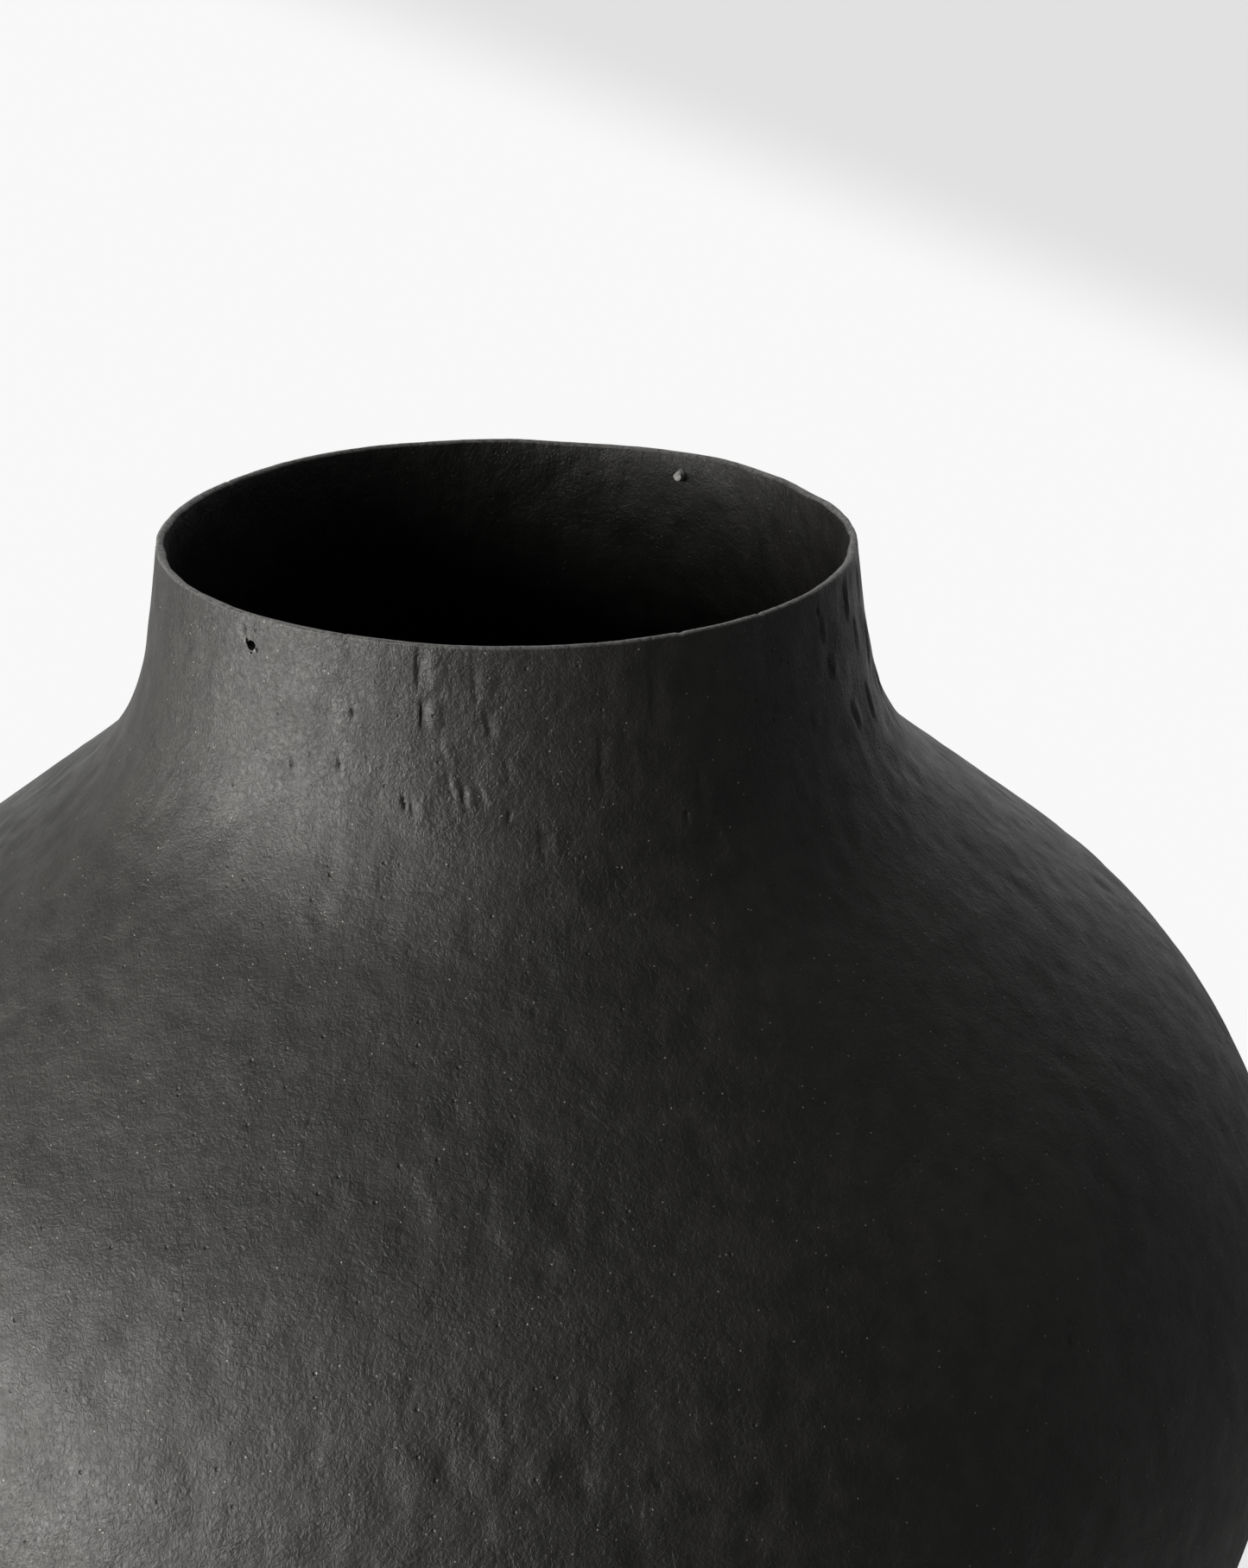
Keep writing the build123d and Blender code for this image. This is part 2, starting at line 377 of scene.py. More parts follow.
# ---- how the wall is worked ------------------------------------------------------------------------
def mark_group():
    """One mark of a tool: how deep the clay is pushed in, in millimetres, at a place on the wall."""
    inputs = [
        ("Around", FLOAT, 0.0), ("Down", FLOAT, 0.0), ("Radius", FLOAT, 100.0),
        ("Azimuth", FLOAT, 0.0), ("Drop", FLOAT, 0.0), ("Width", FLOAT, 3.0),
        ("Half length", FLOAT, 3.0), ("Depth", FLOAT, 0.5), ("Slant", FLOAT, 0.0),
        ("Dragged", FLOAT, 0.0), ("Ridge", FLOAT, 0.55),
    ]
    t, given, out = new_group("GeometryNodeTree", "tool mark", inputs, [("Depth", FLOAT)])
    turn = t.math("WRAP", t.math("SUBTRACT", given["Around"], given["Azimuth"]), 180.0, -180.0)
    down = t.math("SUBTRACT", given["Down"], given["Drop"])
    across = t.math("MULTIPLY", t.math("RADIANS", turn), given["Radius"])
    across = t.math("SUBTRACT", across, t.math("MULTIPLY", down, given["Slant"]))
    share = t.math("DIVIDE", across, given["Width"])

    def mound(value):
        """One at zero, and nothing beyond one either way."""
        return t.math("SUBTRACT", 1.0, t.math("MULTIPLY", value, value), clamp=True)

    soft = mound(share)
    soft = t.math("MULTIPLY", soft, soft)
    # A dragged mark falls steeply, fades out to the right and heaps the clay up where it ends.
    steep = t.ramp(share, -0.14, 0.05)
    fading = t.math("SUBTRACT", 1.0, share, clamp=True)
    heap = mound(t.math("SUBTRACT", share, 1.0))
    heap = t.product(heap, heap, given["Ridge"])
    dragged = t.math("SUBTRACT", t.math("MULTIPLY", steep, fading), heap)
    mix = t.add("ShaderNodeMix", {0: given["Dragged"], 2: soft, 3: dragged}).outputs[0]
    window = mound(t.math("DIVIDE", down, given["Half length"]))
    t.wire(out.inputs[0], t.product(mix, window, given["Depth"]))
    return t.tree


def wave_group():
    """A rise or dip of the lip round one azimuth."""
    inputs = [
        ("Around", FLOAT, 0.0), ("Azimuth", FLOAT, 0.0), ("Half width", FLOAT, 10.0), ("Rise", FLOAT, 0.5),
    ]
    t, given, out = new_group("GeometryNodeTree", "lip wave", inputs, [("Rise", FLOAT)])
    turn = t.math("WRAP", t.math("SUBTRACT", given["Around"], given["Azimuth"]), 180.0, -180.0)
    share = t.math("DIVIDE", turn, given["Half width"])
    bump = t.math("SUBTRACT", 1.0, t.math("MULTIPLY", share, share), clamp=True)
    t.wire(out.inputs[0], t.product(bump, bump, given["Rise"]))
    return t.tree


def wheel_group():
    """Turns a section about the axis and works its surface: uneven, dimpled, marked and nicked by hand."""
    inputs = [
        ("Section", GEOMETRY, None), ("Steps around", INT, STEPS_AROUND), ("Turning radius", FLOAT, 0.25),
        ("Out of round", FLOAT, 0.9), ("Dimple pitch", FLOAT, 12.0), ("Dimple depth", FLOAT, 0.5),
        ("Ripple depth", FLOAT, 0.26), ("Pit depth", FLOAT, 0.55), ("Finger depth", FLOAT, 1.7),
        ("Hand waver", FLOAT, 1.5), ("Lip roughness", FLOAT, 0.28), ("Seed", FLOAT, 4.0),
        ("Clay", MATERIAL, None),
    ]
    t, given, out = new_group("GeometryNodeTree", "coil on the wheel", inputs, [("Coil", GEOMETRY)])
    ring_sizes = {"Resolution": given["Steps around"], "Radius": given["Turning radius"]}
    circle = t.add("GeometryNodeCurvePrimitiveCircle", ring_sizes).outputs["Curve"]
    path = t.add("GeometryNodeSetCurveNormal", {"Curve": circle}, mode="Z_UP").outputs[0]
    profile = t.add("GeometryNodeMeshToCurve", {"Mesh": given["Section"]}).outputs[0]
    swept = t.add("GeometryNodeCurveToMesh", {"Curve": path, "Profile Curve": profile}).outputs[0]
    swept = t.add("GeometryNodeMergeByDistance", {"Geometry": swept, "Distance": WELD}).outputs[0]
    swept = t.add("GeometryNodeFlipFaces", {"Mesh": swept}).outputs[0]

    def named(name):
        return t.add("GeometryNodeInputNamedAttribute", {"Name": name}, data_type="FLOAT").outputs[0]

    place = t.add("GeometryNodeInputPosition").outputs[0]
    spoke, radius, (x, y, z) = t.around_axis(place)
    around = t.math("DEGREES", t.math("ARCTAN2", y, x))
    height = t.math("MULTIPLY", z, 1 / MM)
    down = t.math("SUBTRACT", HEIGHT, height)
    skin, out_r, out_z = named("skin"), named("out_r"), named("out_z")
    outwards = t.vector("ADD", t.vector("SCALE", spoke, scale=out_r), t.joined(0.0, 0.0, out_z))
    here = t.vector("SCALE", place, scale=1 / MM)
    seeded = t.vector("ADD", here, t.joined(t.math("MULTIPLY", given["Seed"], 100.0), 0.0, 0.0))

    # The marks that have a place of their own, with edges that waver as a hand does.
    wavering = t.math("ADD", around, t.math("MULTIPLY", t.wander(here, 0.22), given["Hand waver"]))
    spot = {"Around": wavering, "Down": down, "Radius": radius}
    names = ("Azimuth", "Drop", "Width", "Half length", "Depth", "Slant")
    mark = mark_group()
    marks = []
    for dragged, listed in ((1.0, DRAGGED_MARKS), (0.0, PRESSED_MARKS)):
        marks += [t.group(mark, {**spot, **dict(zip(names, row)), "Dragged": dragged})[0] for row in listed]
    placed = t.total(marks)

    # Soft dimples from the beater, longer than they are wide, which come and go and are fainter on the neck.
    squeezed = t.vector("MULTIPLY", seeded, (1.0, 1.0, 0.62))
    pitch = t.math("DIVIDE", 1.0, given["Dimple pitch"])
    cell = t.cells(t.swirled(squeezed, 0.03, 14.0), pitch, 0.3)
    dimple = t.ramp(cell.outputs["Distance"], 0.0, 0.62, 1.0, 0.0)
    coming_and_going = t.ramp(t.noise(seeded, 0.016, 1.0), 0.36, 0.62, 0.45, 1.0)
    below_neck = t.ramp(down, 0.0, 60.0, 0.75, 1.0)
    dimples = t.product(dimple, given["Dimple depth"], coming_and_going, below_neck)

    # Long shallow ripples that follow the wall downwards.
    ring = t.vector("SCALE", spoke, scale=100.0)
    run_on = t.joined(t.math("MULTIPLY", given["Seed"], 31.0), 0.0, t.math("MULTIPLY", down, 0.2))
    ripple = t.wander(t.vector("ADD", ring, run_on), 0.16)
    broad = t.math("MULTIPLY", t.wander(seeded, 0.05), 1.6)
    ripples = t.math("MULTIPLY", t.math("ADD", ripple, broad), given["Ripple depth"])

    # Scattered small pits where grit dragged out of the clay.
    grit = t.cells(t.vector("MULTIPLY", seeded, (1.0, 1.0, 0.5)), 0.075)
    torn = t.math("LESS_THAN", t.split(grit.outputs["Color"])[0], 0.5)
    pits = t.product(t.ramp(grit.outputs["Distance"], 0.02, 0.075, 1.0, 0.0), torn, given["Pit depth"])
    pushed = t.math("MULTIPLY", t.total([placed, dimples, ripples, pits]), skin)

    # Fingers press the inner face, and the underside stays flat.
    fingers = t.wander(t.vector("MULTIPLY", seeded, (1.0, 1.0, 1.3)), 0.075)
    inside = t.product(t.math("SUBTRACT", 1.0, skin), fingers, given["Finger depth"])
    standing = t.ramp(height, 0.3, 12.0)
    pushed = t.product(t.math("SUBTRACT", inside, pushed), MM, standing)

    # The whole wall is a little out of round, and the lip rises and dips.
    drift = t.joined(given["Seed"], 0.0, t.math("MULTIPLY", down, 0.004))
    slow = t.wander(t.vector("ADD", t.vector("SCALE", spoke, scale=0.55), drift), 1.0, 1.0)
    out_of_round = t.product(slow, given["Out of round"], 2 * MM, standing)
    wave = wave_group()
    wave_names = ("Azimuth", "Half width", "Rise")
    rises = [t.group(wave, {"Around": around, **dict(zip(wave_names, row))})[0] for row in LIP_WAVES]
    near_lip = t.ramp(down, 0.0, 30.0, 1.0, 0.0)
    nicks = []
    for azimuth, width, depth in LIP_NICKS:
        nick = {"Azimuth": azimuth, "Width": width, "Half length": NICK_HALF_LENGTH, "Depth": depth}
        nicks.append(t.group(mark, {**spot, **nick})[0])
    fine = t.product(t.wander(seeded, 0.16, 3.0), given["Lip roughness"], t.ramp(down, 0.0, 3.0, 1.0, 0.0))
    rise = t.math("ADD", t.math("MULTIPLY", t.total(rises), near_lip), fine)
    rise = t.math("MULTIPLY", t.math("SUBTRACT", rise, t.total(nicks)), MM)

    moved = t.vector("SCALE", outwards, scale=pushed)
    moved = t.vector("ADD", moved, t.vector("SCALE", spoke, scale=out_of_round))
    moved = t.vector("ADD", moved, t.joined(0.0, 0.0, rise))
    worked = t.add("GeometryNodeSetPosition", {"Geometry": swept, "Offset": moved}).outputs[0]
    worked = t.add("GeometryNodeSetShadeSmooth", {"Geometry": worked, "Shade Smooth": True}).outputs[0]
    whole = t.add("GeometryNodeRealizeInstances", {"Geometry": worked}).outputs[0]
    clad = t.add("GeometryNodeSetMaterial", {"Geometry": whole, "Material": given["Clay"]}).outputs[0]
    t.wire(out.inputs[0], clad)
    return t.tree


def turned(name, section, closed, group, clay):
    """A coil as a plain mesh: its section, turned and worked by the wheel's tree."""
    points = np.zeros((len(section), 3))
    points[:, 0] = section[:, 0] * MM
    points[:, 2] = section[:, 1] * MM
    count = len(points)
    edges = [(i, i + 1) for i in range(count - 1)] + ([(count - 1, 0)] if closed else [])
    # The sweep takes its profile in the XY plane, with the turning circle at zero and up as minus Y.
    flat = np.stack([points[:, 0] - BODY_RADIUS * MM, -points[:, 2], points[:, 1]], 1)
    mesh = bpy.data.meshes.new(name + "_section")
    mesh.from_pydata(flat.tolist(), edges, [])
    for label, column in (("out_r", 2), ("out_z", 3), ("skin", 4), ("wear_and_highlight", 5)):
        values = section[:, column].astype(np.float32)
        mesh.attributes.new(label, "FLOAT", "POINT").data.foreach_set("value", values)
    start = bpy.data.objects.new(name + "_section", mesh)
    bpy.context.scene.collection.objects.link(start)
    modifier = start.modifiers.new("coil on the wheel", "NODES")
    modifier.node_group = group
    sockets = {item.name: item.identifier for item in group.interface.items_tree if item.in_out == "INPUT"}
    modifier[sockets["Turning radius"]] = BODY_RADIUS * MM
    modifier[sockets["Clay"]] = clay
    evaluated = start.evaluated_get(bpy.context.evaluated_depsgraph_get())
    made = bpy.data.meshes.new_from_object(evaluated)
    made.name = name
    bpy.data.objects.remove(start)
    if not closed:
        close_poles(made)
    piece = bpy.data.objects.new(name, made)
    bpy.context.scene.collection.objects.link(piece)
    return piece


def close_poles(mesh):
    """Gathers the points of each ring that lies on the axis into one."""
    gathered = bmesh.new()
    gathered.from_mesh(mesh)
    on_axis = [v for v in gathered.verts if v.co.xy.length < 0.3 * MM]
    below = [v for v in on_axis if v.co.z < FLOOR * MM / 2]
    above = [v for v in on_axis if v.co.z > FLOOR * MM / 2]
    bmesh.ops.pointmerge(gathered, verts=below, merge_co=below[0].co)
    bmesh.ops.pointmerge(gathered, verts=above, merge_co=above[0].co)
    gathered.to_mesh(mesh)
    gathered.free()


def coil_seams(count):
    """Runs of the seams from the dish's edge to the neck coil's foot: coils of equal width above the dish."""
    first = outline["floor_run"] + DISH_RISE + SEAM_LAP
    return np.linspace(first, outline["length"], count + 1)[:-1]


# ---- pegs and crumbs of clay, and the pricked hole -------------------------------------------------
def heading(azimuth):
    return Vector((cos(radians(azimuth)), sin(radians(azimuth)), 0.0))


def peg(name, start, along, stations, sides, unevenness, seed):
    """A closed, uneven round peg: stations are (millimetres along, radius), from start along a direction."""
    chance = np.random.default_rng(seed)
    along = along.normalized()
    turn = along.to_track_quat("Z", "Y").to_matrix()
    lobes = chance.uniform(-1, 1, (len(stations), 3))
    points = []
    for (reach, radius), (first, second, third) in zip(stations, lobes):
        for side in range(sides):
            angle = 2 * pi * side / sides
            swell = 1 + unevenness * (first * cos(2 * angle) + second * sin(3 * angle) + third * cos(angle))
            spoke = turn @ Vector((cos(angle), sin(angle), 0))
            points.append(start + spoke * (radius * swell * MM) + along * (reach * MM))
    faces = [tuple(reversed(range(sides)))]
    for ring in range(len(stations) - 1):
        for side in range(sides):
            after = (side + 1) % sides
            low, high = ring * sides, (ring + 1) * sides
            faces.append((low + side, low + after, high + after, high + side))
    faces.append(tuple(range((len(stations) - 1) * sides, len(stations) * sides)))
    mesh = bpy.data.meshes.new(name)
    mesh.from_pydata([tuple(p) for p in points], [], faces)
    # The share of pale colour for wear and painted highlights, none yet.
    mesh.attributes.new("wear_and_highlight", "FLOAT", "POINT")
    mesh.polygons.foreach_set("use_smooth", [True] * len(faces))
    made = bpy.data.objects.new(name, mesh)
    bpy.context.scene.collection.objects.link(made)
    return made


def combined(piece, tool, operation):
    """The piece with another solid cut out of it or worked into it, as a plain mesh."""
    modifier = piece.modifiers.new("worked", "BOOLEAN")
    modifier.operation = operation
    modifier.solver = "EXACT"
    modifier.object = tool
    evaluated = piece.evaluated_get(bpy.context.evaluated_depsgraph_get())
    made = bpy.data.meshes.new_from_object(evaluated)
    made.name = piece.name
    piece.modifiers.clear()
    piece.data = made
    bpy.data.objects.remove(tool)


# The crumbs of clay that the awl pushed up round the hole:
# (millimetres round to the right, millimetres up, radius, stretch upwards)
CRUMBS = [(1.75, -0.95, 0.52, 1.1), (-0.1, -1.95, 0.34, 0.9), (-1.85, 0.5, 0.36, 2.2)]
CRUMB_SHAPE = [(0, 1.0), (1.0, 1.05), (1.3, 0.97), (1.5, 0.78), (1.62, 0.45), (1.66, 0.15)]
CRUMB_ROOT = 1.0            # how deep a crumb is rooted in the wall
AWL_SHAPE = [(0, 0.86), (4, 0.9), (7, 0.97), (9, 1.0), (12, 1.06)]
AWL_REACH = 9.0
SKIN_DEPTH = 1.2            # points deeper than this below the outer face are on the inner one


def neck_frame(azimuth, drop):
    """A point on the neck's outer face, in metres, and the wall's directions outwards and upwards there."""
    radius, height, lean = on_wall(outline["length"] - drop)
    across = heading(azimuth)
    point = across * (radius * MM) + Vector((0, 0, height * MM))
    outwards = across * cos(lean) + Vector((0, 0, sin(lean)))
    upwards = Vector((0, 0, cos(lean))) - across * sin(lean)
    return point, outwards, upwards


def prick_hole(neck):
    """Pricks the hole through the neck under the lip, and leaves its burr of crumbs, whose tips are painted
    pale as a highlight.
    """
    across = heading(HOLE_AZIMUTH)
    right = across.cross(Vector((0, 0, -1)))
    centre, outwards, upwards = neck_frame(HOLE_AZIMUTH, HOLE_DROP)
    near = [v.co - centre for v in neck.data.vertices if (v.co - centre).length < 5 * MM]
    heights = [away.dot(outwards) for away in near]
    centre += outwards * float(np.median([height for height in heights if height > -SKIN_DEPTH * MM]))
    for number, (round_, up, size, stretch) in enumerate(CRUMBS):
        start = centre + right * (round_ * MM) + upwards * (up * MM) - outwards * (CRUMB_ROOT * MM)
        stations = [(reach, size * share) for reach, share in CRUMB_SHAPE]
        lump = peg(f"crumb_{number}", start, outwards, stations, sides=14, unevenness=0.14, seed=number + 3)
        for vertex in lump.data.vertices:
            vertex.co.z = start.z + (vertex.co.z - start.z) * stretch
        combined(neck, lump, "UNION")
    stations = [(reach, HOLE_DIAMETER / 2 * share) for reach, share in AWL_SHAPE]
    awl = peg("awl", centre - across * (AWL_REACH * MM), across, stations, sides=28, unevenness=0.08, seed=5)
    combined(neck, awl, "DIFFERENCE")
    # The crumbs stand clear of the wall, which is how they are found again; their tips are painted pale as a
    # highlight.
    for vertex, wear_and_highlight in zip(neck.data.vertices, neck.data.attributes["wear_and_highlight"].data):
        if (vertex.co - centre).length < 4 * MM:
            clear = (vertex.co - centre).dot(outwards) / MM
            wear_and_highlight.value = max(wear_and_highlight.value, min(2.5, (clear - 0.2) / 0.15))


# ---- materials -------------------------------------------------------------------------------------
def place_group():
    """Where a point of the clay is, in millimetres: as it lies, by the wall's height, and if it is inside."""
    outputs = [("Place", VECTOR), ("Wall", VECTOR), ("Inside", FLOAT)]
    t, _, out = new_group("ShaderNodeTree", "place on the jar", [], outputs)
    place = t.add("ShaderNodeTexCoord").outputs["Object"]
    spoke, _, (_, _, z) = t.around_axis(place)
    ring = t.vector("SCALE", spoke, scale=100.0)
    down = t.math("SUBTRACT", HEIGHT, t.math("MULTIPLY", z, 1 / MM))
    normal = t.add("ShaderNodeNewGeometry").outputs["True Normal"]
    facing = t.vector("DOT_PRODUCT", normal, spoke, out="Value")
    t.wire(out.inputs["Place"], t.vector("SCALE", place, scale=1 / MM))
    t.wire(out.inputs["Wall"], t.vector("ADD", ring, t.joined(0.0, 0.0, down)))
    t.wire(out.inputs["Inside"], t.ramp(facing, -0.3, 0.3, 1.0, 0.0))
    return t.tree


def grain_group():
    """The clay's fine skin as a height: a curly peel, faint streaks, a soft swell and scattered pits."""
    inputs = [
        ("Place", VECTOR, None), ("Wall", VECTOR, None), ("Peel size", FLOAT, 1.2), ("Peel", FLOAT, 1.0),
        ("Curls", FLOAT, 0.2), ("Swirl", FLOAT, 2.3), ("Streaks", FLOAT, 0.5), ("Pits", FLOAT, 1.0),
        ("Swell", FLOAT, 1.0),
    ]
    t, given, out = new_group("ShaderNodeTree", "clay grain", inputs, [("Height", FLOAT)])
    place = given["Place"]
    scale = t.math("DIVIDE", 1.0, given["Peel size"])
    coarse = t.math("MULTIPLY", scale, 0.6)
    # Thin curled ridges run along the middle value of a swirled noise, and come and go over the wall.
    curled = t.swirled(place, coarse, given["Swirl"])
    ridge = t.math("ABSOLUTE", t.wander(curled, coarse, 1.0))
    curls = t.math("SUBTRACT", 1.0, t.math("MULTIPLY", ridge, 7.0), clamp=True)
    curls = t.product(curls, t.ramp(t.noise(place, 0.12), 0.4, 0.62, 0.2, 1.0), given["Curls"])
    fine = t.noise(curled, t.math("MULTIPLY", scale, 1.5), 3.0, 0.65)
    peel = t.math("MULTIPLY", t.math("ADD", curls, fine), given["Peel"])
    combed = t.vector("MULTIPLY", given["Wall"], (1.0, 1.0, 0.16))
    streaks = t.math("MULTIPLY", t.noise(combed, 0.9, 3.0, 0.6), given["Streaks"])
    swell = t.math("MULTIPLY", t.noise(place, 0.22), given["Swell"])
    cell = t.cells(place, 0.22)
    chosen = t.ramp(t.split(cell.outputs["Color"])[0], 0.6, 0.7)
    pits = t.product(t.ramp(cell.outputs["Distance"], 0.03, 0.14, 1.0, 0.0), chosen, given["Pits"])
    t.wire(out.inputs[0], t.math("SUBTRACT", t.total([peel, streaks, swell]), pits))
    return t.tree


def smoke_group():
    """Smoke-black clay's colour and roughness: cloudy, a little polished in patches, with bright specks, and
    pale where it is worn and where a highlight is painted.
    """
    inputs = [
        ("Place", VECTOR, None), ("Black", COLOR, None), ("Ash", COLOR, None), ("Cloud", FLOAT, 0.5),
        ("Speck", COLOR, None), ("Speck share", FLOAT, 0.6), ("Inside", FLOAT, 0.0), ("Inner face darker", FLOAT, 0.45),
        ("Bare and highlit", COLOR, None), ("Wear and highlight", FLOAT, 0.0), ("Dull", FLOAT, 0.53), ("Polished", FLOAT, 0.41),
    ]
    outputs = [("Colour", COLOR), ("Roughness", FLOAT)]
    t, given, out = new_group("ShaderNodeTree", "smoked skin", inputs, outputs)
    place = given["Place"]
    cloud = t.noise(place, 0.016, 4.0, 0.6)
    mottle = t.noise(place, 0.13, 3.0, 0.6)
    both = t.math("ADD", t.math("MULTIPLY", cloud, 0.5), t.math("MULTIPLY", mottle, 0.5))
    ash = t.math("MULTIPLY", t.ramp(both, 0.4, 0.62), given["Cloud"])
    tint = t.blended(ash, given["Black"], given["Ash"])
    cell = t.cells(place, 0.33)
    rare = t.math("LESS_THAN", t.split(cell.outputs["Color"])[1], given["Speck share"])
    speck = t.math("MULTIPLY", t.ramp(cell.outputs["Distance"], 0.035, 0.09, 1.0, 0.0), rare)
    tint = t.blended(speck, tint, given["Speck"])
    # The inner face is made darker by this share.
    tint = t.blended(t.math("MULTIPLY", given["Inside"], given["Inner face darker"]), tint, (0.0, 0.0, 0.0, 1.0))
    # Pale where the clay is worn and where a highlight is painted: the lip's crown, the crumbs by the hole
    # and the nub's tip.
    wear_highlight_share = t.math("MULTIPLY", given["Wear and highlight"], t.ramp(t.noise(place, 0.7), 0.3, 0.6, 0.35, 1.0))
    t.wire(out.inputs["Colour"], t.blended(wear_highlight_share, tint, given["Bare and highlit"]))
    gloss = t.noise(place, 0.09, 4.0, 0.65)
    t.wire(out.inputs["Roughness"], t.ramp(gloss, 0.3, 0.7, given["Dull"], given["Polished"]))
    return t.tree


place_on_jar, clay_grain, smoked_skin = place_group(), grain_group(), smoke_group()

SMOKE_BLACK = (0.025, 0.0245, 0.023, 1)
ASH_GREY = (0.052, 0.050, 0.046, 1)
PALE_SPECK = (0.40, 0.38, 0.35, 1)
WALL_GRAIN = {"Peel size": 1.25, "Peel": 1.45, "Streaks": 0.22, "Pits": 1.3, "Swell": 1.6}
NUB_GRAIN = {"Peel size": 0.9, "Peel": 1.0, "Streaks": 0.2, "Pits": 0.3, "Swell": 0.5}


def clay_material(name, black, ash, bare_and_highlit, grain, relief_depth):
    """A smoked clay with its own tints and grain; the relief's depth is in millimetres."""
    material = bpy.data.materials.new(name)
    material.use_nodes = True
    t = Tree(material.node_tree)
    shader = material.node_tree.nodes["Principled BSDF"]
    spot = t.group(place_on_jar, {})
    # The share of pale colour for wear and painted highlights.
    wear_and_highlight = t.add("ShaderNodeAttribute", attribute_name="wear_and_highlight").outputs["Fac"]
    where = {"Place": spot["Place"], "Inside": spot["Inside"], "Wear and highlight": wear_and_highlight}
    tints = {"Black": black, "Ash": ash, "Bare and highlit": bare_and_highlit, "Speck": PALE_SPECK}
    finish = t.group(smoked_skin, {**where, **tints})
    t.wire(shader.inputs["Base Color"], finish["Colour"])
    t.wire(shader.inputs["Roughness"], finish["Roughness"])
    height = t.group(clay_grain, {"Place": spot["Place"], "Wall": spot["Wall"], **grain})["Height"]
    relief = t.add("ShaderNodeBump", {"Height": height, "Strength": 1.0, "Distance": relief_depth * MM})
    t.wire(shader.inputs["Normal"], relief.outputs[0])
    shader.inputs["IOR"].default_value = 1.5
    return material


# The last tint is the pale colour of worn clay and of painted highlights.
smoked_clay = clay_material("smoked_clay", SMOKE_BLACK, ASH_GREY, (0.13, 0.125, 0.12, 1), WALL_GRAIN, 0.20)
neck_clay = clay_material("neck_clay", SMOKE_BLACK, ASH_GREY, (0.26, 0.255, 0.25, 1), WALL_GRAIN, 0.20)
# The nub's clay is lighter than the wall's, and its pale tip is a painted highlight.
rubbed_clay = clay_material(
    "rubbed_clay", (0.09, 0.088, 0.085, 1), (0.13, 0.127, 0.123, 1), (0.72, 0.71, 0.69, 1), NUB_GRAIN, 0.12,
)


# ---- the pieces ------------------------------------------------------------------------------------
def finished(piece, node):
    """Marks the creases, and lets the piece stand for its CAD node."""
    piece.data.set_sharp_from_angle(angle=radians(32))
    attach(piece, "root")
    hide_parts(node)


wheel = wheel_group()
coils = [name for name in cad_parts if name.endswith("_dish") or "_coil" in name]
coils.sort(key=lambda name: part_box(name)[1].z)
seams = coil_seams(len(coils) - 1)
for number, node in enumerate(coils):
    on_neck = node == coils[-1]
    if number == 0:
        section, closed = dish_section(seams[0], COIL_STEP)
    elif on_neck:
        section, closed = neck_section(seams[-1], NECK_STEP)
    else:
        section, closed = coil_section(seams[number - 1], seams[number], COIL_STEP)
    clay = neck_clay if on_neck else smoked_clay
    piece = turned(node + "_fired", section, closed, wheel, clay)
    if on_neck:
        prick_hole(piece)
    finished(piece, node)

# The nub's outline: (millimetres along from its root in the wall, radius)
NUB_SHAPE = [
    (0, 2.2), (0.9, 2.25), (1.3, 2.0), (1.9, 1.75), (2.6, 1.6),
    (3.3, 1.5), (3.8, 1.3), (4.1, 0.9), (4.25, 0.35),
]
NUB_ROOT = 0.8              # how deep its root is in the wall
NUB_SIDES = 20


def nub_piece():
    """The small peg of clay that stands out of the neck's inner face: an uneven stem, lighter than the wall's
    clay, with its tip painted pale as a highlight.
    """
    radius, height, _ = on_wall(outline["length"] - NUB_DROP, 1.0)
    out = heading(NUB_AZIMUTH)
    start = out * ((radius + NUB_ROOT) * MM) + Vector((0, 0, (height + NUB_RISE) * MM))
    made = peg("clay_nub_fired", start, -out, NUB_SHAPE, sides=NUB_SIDES, unevenness=0.13, seed=11)
    # The tip is painted pale as a highlight, fading down the stem.
    values = []
    for reach, _ in NUB_SHAPE:
        values += [0.1 + 0.9 * min(1, max(0, (reach - 1.5) / 1.2))] * NUB_SIDES
    made.data.attributes["wear_and_highlight"].data.foreach_set("value", values)
    smooth = made.modifiers.new("softened", "SUBSURF")
    smooth.levels = smooth.render_levels = 2
    mesh = bpy.data.meshes.new_from_object(made.evaluated_get(bpy.context.evaluated_depsgraph_get()))
    made.modifiers.clear()
    made.data = mesh
    made.data.materials.append(rubbed_clay)
    return made


finished(nub_piece(), "clay_nub")


# ---- the studio ------------------------------------------------------------------------------------
PAPER = 0.94                # how white the paper looks, and how grey the soft shadow that falls across it
PAPER_IN_SHADOW = 0.75
WARM_LIGHT = (1.0, 0.988, 0.962)
LIT_MIDDLE = Vector((0, 0, 0.33))
SHADOW_SIDE = (0.343, 0.079, 0.936)
SHADOW_FROM, SHADOW_TO = -0.034, 0.018


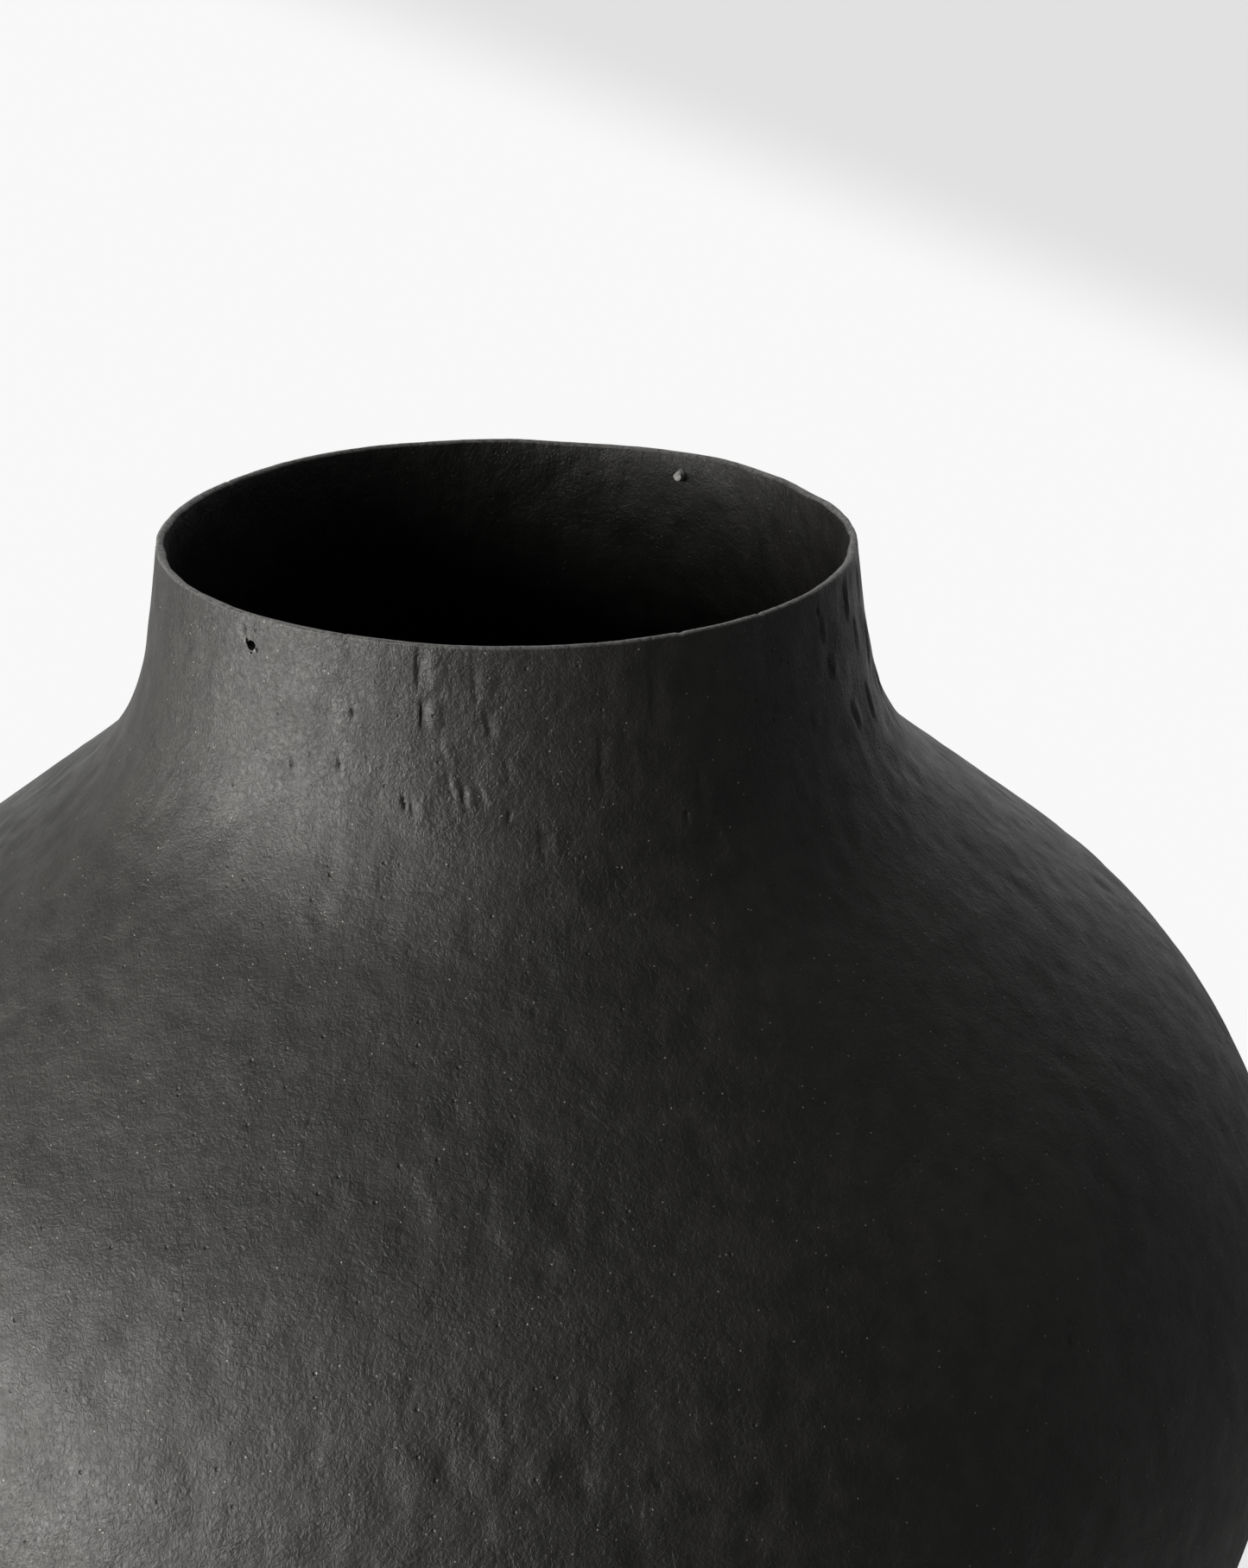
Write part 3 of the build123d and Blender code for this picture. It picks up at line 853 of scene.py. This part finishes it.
def floor_material():
    """White paper that glows for the camera, with a painted contact shadow close to the jar, and matte to the
    jar itself; clear when seen from below.
    """
    material = bpy.data.materials.new("paper floor")
    material.use_nodes = True
    nodes = material.node_tree.nodes
    nodes.clear()
    t = Tree(material.node_tree)
    # A painted contact shadow: the paper's glow is dimmed where the jar is near, and not past the far edge.
    near = t.add("ShaderNodeAmbientOcclusion", {"Distance": 0.34}, samples=12).outputs["AO"]
    shade = t.ramp(near, 0.0, 0.9, 0.3, 1.0, smooth=False)
    _, radius, _ = t.around_axis(t.add("ShaderNodeTexCoord").outputs["Object"])
    far = t.ramp(radius, 280.0, 560.0)
    shade = t.math("MAXIMUM", shade, far)
    glow = t.add("ShaderNodeEmission", {"Color": (1, 1, 1, 1), "Strength": t.math("MULTIPLY", shade, PAPER)})
    matte = t.add("ShaderNodeBsdfDiffuse", {"Color": (0.7, 0.7, 0.7, 1)})
    seen = t.add("ShaderNodeLightPath").outputs["Is Camera Ray"]
    both = t.add("ShaderNodeMixShader", {0: seen, 1: matte.outputs[0], 2: glow.outputs[0]})
    behind = t.add("ShaderNodeNewGeometry").outputs["Backfacing"]
    clear = t.add("ShaderNodeBsdfTransparent").outputs[0]
    sheet = t.add("ShaderNodeMixShader", {0: behind, 1: both.outputs[0], 2: clear})
    t.wire(t.add("ShaderNodeOutputMaterial").inputs["Surface"], sheet.outputs[0])
    return material


def paper_floor(radius=0.6, sides=96, gap=0.0005):
    """A round sheet of paper just under the jar, in metres."""
    mesh = bpy.data.meshes.new("paper_floor")
    ring = [heading(360 * i / sides) * radius - Vector((0, 0, gap)) for i in range(sides)]
    mesh.from_pydata([tuple(point) for point in ring], [], [tuple(range(sides))])
    mesh.materials.append(floor_material())
    floor = bpy.data.objects.new("paper_floor", mesh)
    bpy.context.scene.collection.objects.link(floor)


def patch_group():
    """A pale patch on the studio's walls: brightest at its middle and gone past its spread."""
    inputs = [
        ("Direction", VECTOR, None), ("Middle", VECTOR, None), ("Edge", FLOAT, 0.5), ("Strength", FLOAT, 0.5),
    ]
    t, given, out = new_group("ShaderNodeTree", "pale wall", inputs, [("Strength", FLOAT)])
    facing = t.vector("DOT_PRODUCT", given["Direction"], given["Middle"], out="Value")
    t.wire(out.inputs[0], t.math("MULTIPLY", t.ramp(facing, given["Edge"], 1.0), given["Strength"]))
    return t.tree


# The room as the clay sees it: (azimuth, elevation, spread, strength)
PALE_WALLS = [(90, 5, 60, 0.83), (0, 5, 60, 0.19), (0, 90, 60, 0.07), (180, 5, 60, 0.05)]


def towards(azimuth, elevation):
    """The direction at a compass direction and a height above the horizon."""
    return heading(azimuth) * cos(radians(elevation)) + Vector((0, 0, sin(radians(elevation))))


def studio_world():
    """White paper with a soft shadow across it for the camera, and a dim room with pale walls for clay."""
    world = bpy.data.worlds.new("studio")
    bpy.context.scene.world = world
    world.use_nodes = True
    world.node_tree.nodes.clear()
    t = Tree(world.node_tree)
    direction = t.add("ShaderNodeTexCoord").outputs["Generated"]
    wall = patch_group()
    lit = []
    for azimuth, elevation, spread, strength in PALE_WALLS:
        sizes = {"Middle": towards(azimuth, elevation), "Edge": cos(radians(spread)), "Strength": strength}
        lit.append(t.group(wall, {"Direction": direction, **sizes})[0])
    across = t.vector("DOT_PRODUCT", direction, SHADOW_SIDE, out="Value")
    paper = t.ramp(across, SHADOW_FROM, SHADOW_TO, PAPER, PAPER_IN_SHADOW)
    seen = t.add("ShaderNodeLightPath").outputs["Is Camera Ray"]
    strength = t.add("ShaderNodeMix", {0: seen, 2: t.total(lit), 3: paper}).outputs[0]
    sky = t.add("ShaderNodeBackground", {"Color": (1, 1, 1, 1), "Strength": strength})
    t.wire(t.add("ShaderNodeOutputWorld").inputs["Surface"], sky.outputs[0])


def soft_light(name, azimuth, elevation, distance, width, height, power):
    """A soft box that faces the jar's shoulder from a compass direction."""
    data = bpy.data.lights.new(name, "AREA")
    data.shape = "RECTANGLE"
    data.size, data.size_y = width, height
    data.energy = power
    data.color = WARM_LIGHT
    lamp = bpy.data.objects.new(name, data)
    bpy.context.scene.collection.objects.link(lamp)
    away = towards(azimuth, elevation)
    lamp.location = LIT_MIDDLE + away * distance
    lamp.rotation_euler = away.to_track_quat("Z", "Y").to_euler()
    lamp.visible_camera = False


# (name, azimuth, elevation, distance, width, height, power)
LIGHTS = [
    ("window", -152.0, -3.0, 2.2, 1.0, 0.8, 42.0),
    ("window_left", -174.0, 5.0, 2.2, 0.9, 0.8, 19.0),
    ("window_middle", -140.0, 14.0, 2.2, 0.8, 0.6, 8.0),
    ("window_head", -150.0, 33.0, 2.2, 0.8, 0.6, 8.5),
    ("window_top", -150.0, 55.0, 2.2, 0.6, 0.6, 3.5),
]
for settings in LIGHTS:
    soft_light(*settings)


CAMERA_PLACE = Vector((0.0, -0.5995, HEIGHT * MM + 0.184))
CAMERA_DOWN, CAMERA_SWING, CAMERA_ROLL = 23.84, 3.23, 0.705
CAMERA_LENS = 49.56


def set_camera():
    """The camera in front and above: it looks into the mouth, and the jar's foot is out of the frame."""
    down, swing, roll = radians(CAMERA_DOWN), radians(CAMERA_SWING), radians(CAMERA_ROLL)
    ahead = Vector((sin(swing) * cos(down), cos(swing) * cos(down), -sin(down)))
    level = Vector((cos(swing), -sin(swing), 0.0))
    upright = level.cross(ahead)
    right = level * cos(roll) + upright * sin(roll)
    up = upright * cos(roll) - level * sin(roll)
    data = bpy.data.cameras.new("camera")
    data.sensor_width, data.lens = 36.0, CAMERA_LENS
    data.clip_start, data.clip_end = 0.05, 20.0
    camera = bpy.data.objects.new("camera", data)
    bpy.context.scene.collection.objects.link(camera)
    turn = Matrix((right, up, -ahead)).transposed().to_4x4()
    camera.matrix_world = Matrix.Translation(CAMERA_PLACE) @ turn
    bpy.context.scene.camera = camera


paper_floor()
studio_world()
set_camera()
bpy.context.scene.view_settings.view_transform = "Standard"
